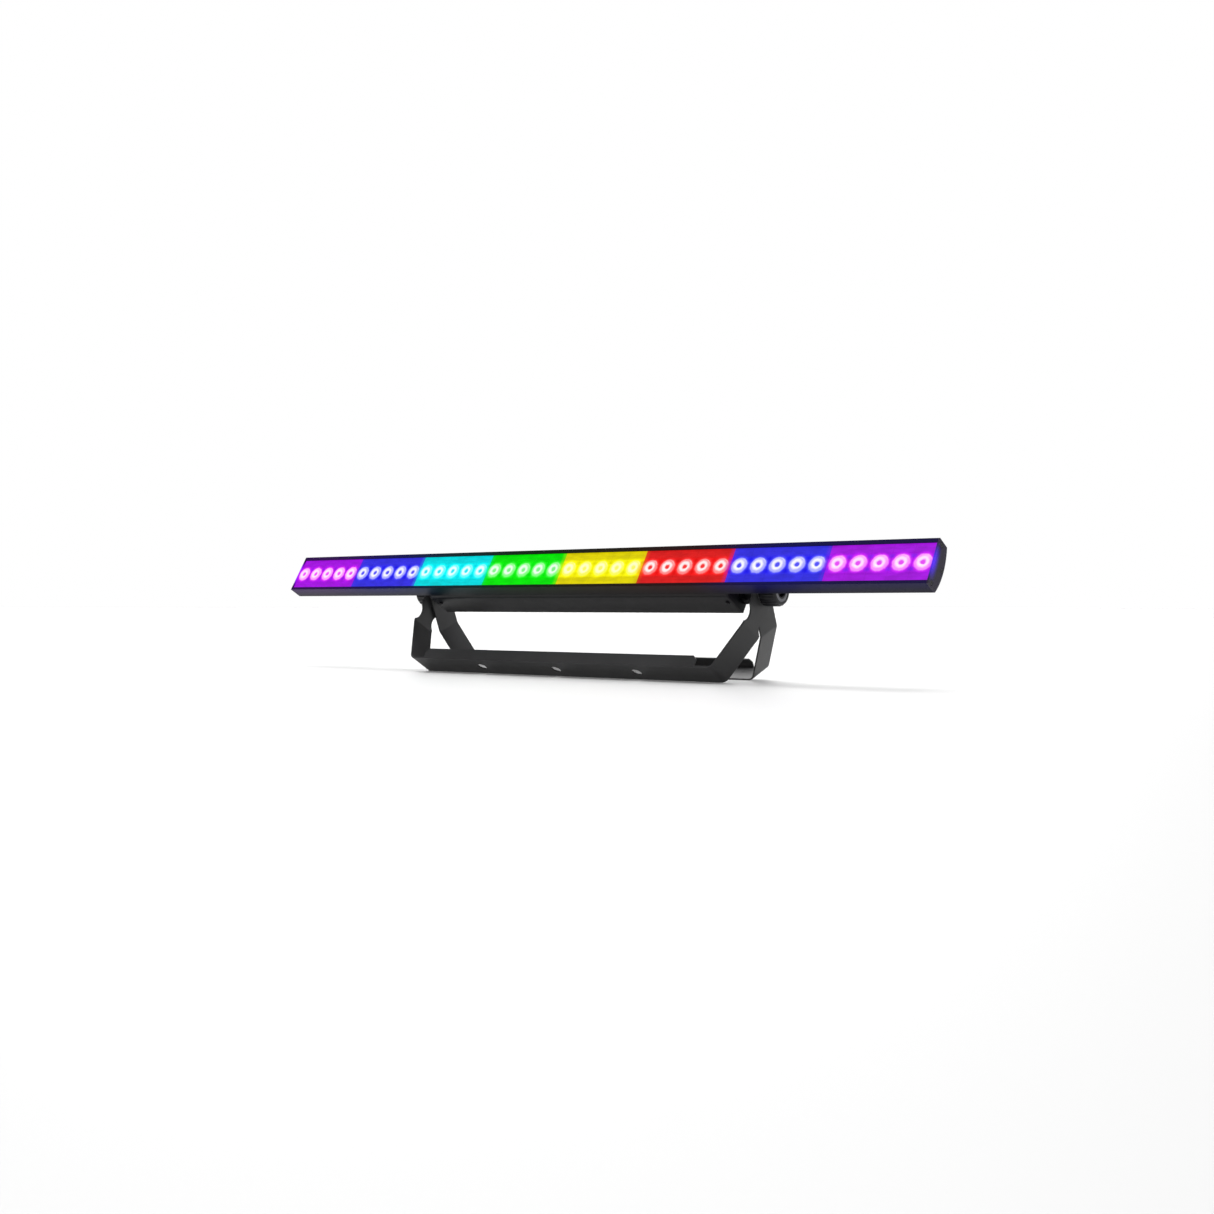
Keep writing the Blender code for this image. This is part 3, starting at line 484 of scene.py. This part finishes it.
def block(bm, low, high):
    """Adds a box between two corners."""
    made = bmesh.ops.create_cube(bm, size=1.0)["verts"]
    size = Vector(high) - Vector(low)
    bmesh.ops.scale(bm, vec=size, verts=made)
    bmesh.ops.translate(bm, vec=(Vector(low) + Vector(high)) / 2, verts=made)


# radius and height in front of the panel, from the middle of a lens out and back
LENS_PROFILE = [(r * MM, h * MM) for r, h in (
    (0.0, -0.6), (9.6, -0.6), (9.9, 0.0), (9.7, 0.22), (9.0, 0.55), (7.8, 0.85), (6.4, 0.95),
    (5.2, 0.86), (4.2, 0.62), (3.6, 0.28), (3.2, 0.12), (2.4, 0.24), (1.2, 0.33), (0.0, 0.36))]


def make_lens_panel(number, word, paint):
    """The clear front of one section: a plate, five ringed lenses and low cell ribs."""
    node = "lens_panel_%d" % number
    low, high = local_box(node, HEAD)
    front = low.y
    bm = bmesh.new()
    block(bm, low, (high.x, front + PLATE_THICK, high.z))
    first = round(low.x / LED_PITCH)
    for step in range(LEDS_PER_SECTION + 1):
        x = (first + step) * LED_PITCH
        if low.x + MM < x < high.x - MM:
            block(bm, (x - RIB_HALF, front - RIB_RISE, -CELL_HALF),
                  (x + RIB_HALF, front + RIB_RISE, CELL_HALF))
    for z in (-CELL_HALF, CELL_HALF):
        block(bm, (low.x + RIB_END_GAP, front - RIB_RISE, z - RIB_HALF),
              (high.x - RIB_END_GAP, front + RIB_RISE, z + RIB_HALF))
    for step in range(LEDS_PER_SECTION):
        lathe(bm, LENS_PROFILE, ((first + step + 0.5) * LED_PITCH, front, 0))
    made = new_piece("lens_window_%d" % number, bm, paint, "head", HEAD)
    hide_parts(node)


def knob_loop(bm, x, radius, rib=0.0):
    """Points round the knob's axis at x, where the grooves between the ribs are rib deep."""
    loop = []
    for i in range(KNOB_STEPS):
        angle = 2 * math.pi * i / KNOB_STEPS
        r = radius - rib * (0.5 - 0.5 * math.cos(KNOB_RIBS * angle)) ** 1.5
        loop.append(bm.verts.new((x, r * math.cos(angle), r * math.sin(angle))))
    return loop


def skin(bm, loops):
    """Faces between each loop of points and the next."""
    for a, b in zip(loops, loops[1:]):
        for i in range(len(a)):
            j = (i + 1) % len(a)
            bm.faces.new((a[i], a[j], b[j], b[i]))


def make_knob(word, side):
    """A ribbed clamp knob: rounded grip ribs, a raised rim, a sunk centre and a lighter ring round
    it, partly lighter plastic and partly painted sheen.
    """
    node = "clamp_knob_" + word
    low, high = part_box(node)
    inner = min(abs(low.x), abs(high.x))
    length = max(abs(low.x), abs(high.x)) - inner
    radius = (high.z - low.z) / 2
    rim = length - 0.5 * MM
    # radius, height from the plate side, depth of the grooves there
    profile = [
        (KNOB_BORE, KNOB_BORE_DEPTH, 0.0), (KNOB_BORE, 0.0, 0.0), (radius - 1.6 * MM, 0.0, 0.0),
        (radius - 0.5 * MM, 0.5 * MM, 0.5 * MM), (radius, 1.4 * MM, 1.0 * MM),
        (radius, length - 3.2 * MM, 1.0 * MM),
        (radius - 0.3 * MM, length - 2.4 * MM, 0.7 * MM),
        (radius - 1.0 * MM, length - 1.7 * MM, 0.3 * MM),
        (radius - 1.7 * MM, length - 1.3 * MM, 0.0),
        (radius - 2.1 * MM, length - 0.2 * MM, 0.0), (radius - 2.6 * MM, length, 0.0),
        (radius - 4.4 * MM, length, 0.0), (radius - 4.8 * MM, rim, 0.0),
        (8.6 * MM, rim, 0.0), (8.2 * MM, length - 0.1 * MM, 0.0),
        (7.5 * MM, length - 0.1 * MM, 0.0), (KNOB_SUNK_RADIUS, length - 0.6 * MM, 0.0),
        (KNOB_SUNK_RADIUS, length - KNOB_SUNK_DEPTH, 0.0)]
    bm = bmesh.new()
    loops = [knob_loop(bm, side * (inner + along), r, rib) for r, along, rib in profile]
    skin(bm, loops)
    for loop in (loops[0], loops[-1]):
        bm.faces.new(loop)
    bmesh.ops.recalc_face_normals(bm, faces=bm.faces)
    place = Matrix.Translation(AXIS_POINT)
    made = new_piece("grip_" + node, bm, KNOB, "knob_" + word, place)
    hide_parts(node)

    # a lighter ring round the sunk centre of the end: partly lighter plastic, partly a painted
    # sheen of the end face
    profile = [(8.7 * MM, length - 0.9 * MM), (8.9 * MM, length - 0.25 * MM),
               (radius - 5.3 * MM, length - 0.25 * MM), (radius - 5.0 * MM, length - 0.9 * MM)]
    bm = bmesh.new()
    loops = [knob_loop(bm, side * (inner + along), r) for r, along in profile]
    skin(bm, loops + loops[:1])
    bmesh.ops.recalc_face_normals(bm, faces=bm.faces)
    new_piece("face_and_sheen_" + node, bm, KNOB_FACE_AND_SHEEN, "knob_" + word, place)


def make_contacts():
    """Three round contacts inside each power socket and the data input."""
    for node, spread, radius in (("dmx_input", 3.6 * MM, 1.0 * MM),
                                 ("power_inlet", 4.6 * MM, 1.2 * MM),
                                 ("power_outlet", 4.6 * MM, 1.2 * MM)):
        low, high = local_box(node, HEAD)
        middle = (low + high) / 2
        tip = high.y - CONTACT_SUNK
        # heights run from the tip back into the socket
        profile = [(0.0, 0.0), (radius * 0.7, 0.0), (radius, 0.5 * MM),
                   (radius, CONTACT_LENGTH), (0.0, CONTACT_LENGTH)]
        bm = bmesh.new()
        for i in range(CONTACTS):
            angle = math.radians(90 + 360 * i / CONTACTS)
            center = Vector((middle.x + spread * math.cos(angle), tip,
                             middle.z + spread * math.sin(angle)))
            lathe(bm, profile, center, 16)
        bmesh.ops.recalc_face_normals(bm, faces=bm.faces)
        new_piece(node + "_contacts", bm, STEEL, "head", HEAD)


# --- build -------------------------------------------------------------------
LENS_PAINTS = {word: lit_lens(word) for word in LIT}
for index, section in enumerate(SECTIONS, 1):
    make_lens_panel(index, section, LENS_PAINTS[section])

refined("housing_extrusion", HOUSING, 0.35 * MM)
refined("front_yoke", YOKE, 0.45 * MM, WORLD)
refined("rear_yoke", YOKE, 0.45 * MM, WORLD)
refined("power_box_shell", SHEET, 0.7 * MM, segments=3)
refined("power_box_back_cover", SHEET, 0.25 * MM, merge=False)
refined("safety_eye", SHEET, 0.3 * MM)
refined("display_window", WINDOW, 0.2 * MM)
refined("dmx_input", BLACK, 0.3 * MM)
refined("dmx_output", BLACK, 0.25 * MM)
refined("dmx_output_latch", STEEL, 0.25 * MM)
refined("power_inlet", INLET, 0.3 * MM)
refined("power_outlet", OUTLET, 0.3 * MM)
refined("fuse_cap", BLACK, 0.3 * MM)
for button in range(1, 5):
    refined("menu_button_%d" % button, BUTTON, 0.3 * MM)
for side, word in ((-1, "left"), (1, "right")):
    refined("end_cap_" + word, CAP, 0.35 * MM)
    refined("power_box_end_" + word, SHEET, 0.3 * MM)
    refined("pivot_boss_" + word, BOSS, 0.3 * MM)
    refined("box_end_screw_" + word, OXIDE, 0.12 * MM)
    refined("pivot_stud_" + word, STEEL, 0.3 * MM)
    refined("friction_washer_" + word, BLACK, 0.15 * MM)
    refined("knob_washer_" + word, STEEL, 0.15 * MM)
    for screw in range(1, 4):
        refined("end_cap_screw_%s_%d" % (word, screw), OXIDE, 0.1 * MM)
    make_knob(word, side)
    repaint("led_board_" + word, LED_BOARD)
    repaint("led_lead_" + word, SLEEVE)
for screw in range(1, 5):
    refined("cover_screw_%d" % screw, OXIDE, 0.12 * MM)
repaint("power_supply", SUPPLY)
repaint("led_driver_board", GREEN_BOARD)
repaint("control_board", GREEN_BOARD)
make_contacts()


# --- stage -------------------------------------------------------------------
def make_floor():
    """A pale floor, partly lit from within so that it stays white under the soft light."""
    bm = bmesh.new()
    bmesh.ops.create_grid(bm, x_segments=1, y_segments=1, size=FLOOR_REACH)
    mesh = bpy.data.meshes.new("floor")
    bm.to_mesh(mesh)
    bm.free()
    paint = Nodes("pale_floor", (0.40, 0.40, 0.40), 0.6)
    paint.set("Specular IOR Level", 0.2)
    paint.set("Emission Color", (1.0, 1.0, 1.0, 1.0))
    paint.set("Emission Strength", 0.15)
    mesh.materials.append(paint.material)
    floor = bpy.data.objects.new("floor", mesh)
    bpy.context.scene.collection.objects.link(floor)
    floor.location.z = cad_low.z


# soft boxes of the studio: direction, half width in degrees, brightness
SOFT_BOXES = (((-0.60, 0.60, 0.50), 26.0, 3.6), ((0.77, 0.64, 0.02), 20.0, 1.0),
              ((0.05, 0.25, 1.0), 24.0, 2.0))
DIM_LIGHT = 0.10


def make_world():
    """A white studio seen directly; its light comes from a few soft boxes in a dim room."""
    world = bpy.data.worlds.new("studio")
    world.use_nodes = True
    tree = world.node_tree
    background = tree.nodes["Background"]
    background.inputs["Color"].default_value = (1.0, 1.0, 1.0, 1.0)
    direction = tree.nodes.new("ShaderNodeTexCoord").outputs["Generated"]
    total = None
    for toward, half_width, brightness in SOFT_BOXES:
        facing = tree.nodes.new("ShaderNodeVectorMath")
        facing.operation = "DOT_PRODUCT"
        facing.inputs[1].default_value = Vector(toward).normalized()
        tree.links.new(direction, facing.inputs[0])
        # a soft edge, from half of the width to one and a half times it
        box = tree.nodes.new("ShaderNodeMapRange")
        box.interpolation_type = "SMOOTHSTEP"
        box.inputs["From Min"].default_value = math.cos(math.radians(half_width * 1.5))
        box.inputs["From Max"].default_value = math.cos(math.radians(half_width * 0.5))
        box.inputs["To Max"].default_value = brightness
        tree.links.new(facing.outputs["Value"], box.inputs["Value"])
        added = tree.nodes.new("ShaderNodeMath")
        tree.links.new(box.outputs[0], added.inputs[0])
        if total:
            tree.links.new(total, added.inputs[1])
        else:
            added.inputs[1].default_value = DIM_LIGHT
        total = added.outputs[0]
    seen = tree.nodes.new("ShaderNodeLightPath")
    pick = tree.nodes.new("ShaderNodeMix")
    pick.inputs["B"].default_value = 1.0
    tree.links.new(seen.outputs["Is Camera Ray"], pick.inputs["Factor"])
    tree.links.new(total, pick.inputs["A"])
    tree.links.new(pick.outputs["Result"], background.inputs["Strength"])
    bpy.context.scene.world = world


def soft_sun(name, toward, angle, strength):
    """A far soft light, from the direction it stands in."""
    data = bpy.data.lights.new(name, "SUN")
    data.angle = math.radians(angle)
    data.energy = strength
    lamp = bpy.data.objects.new(name, data)
    bpy.context.scene.collection.objects.link(lamp)
    lamp.rotation_euler = Vector(toward).to_track_quat("Z", "Y").to_euler()


def make_camera():
    """The camera stands right of and in front of the batten, level, just above the floor."""
    led_row = HEAD @ Vector((0.0, FACE_Y, 0.0))
    data = bpy.data.cameras.new("camera")
    data.sensor_width = SENSOR_WIDTH
    data.lens = LENS
    camera = bpy.data.objects.new("camera", data)
    bpy.context.scene.collection.objects.link(camera)
    camera.location = led_row + Vector(CAMERA_FROM_LEDS)
    camera.rotation_euler = (CAMERA_PITCH, 0.0, CAMERA_YAW)
    bpy.context.scene.camera = camera


make_floor()
make_world()
soft_sun("top_soft", toward=(-0.05, 0.0, 1.0), angle=40.0, strength=3.0)
make_camera()
bpy.context.scene.view_settings.view_transform = "Standard"
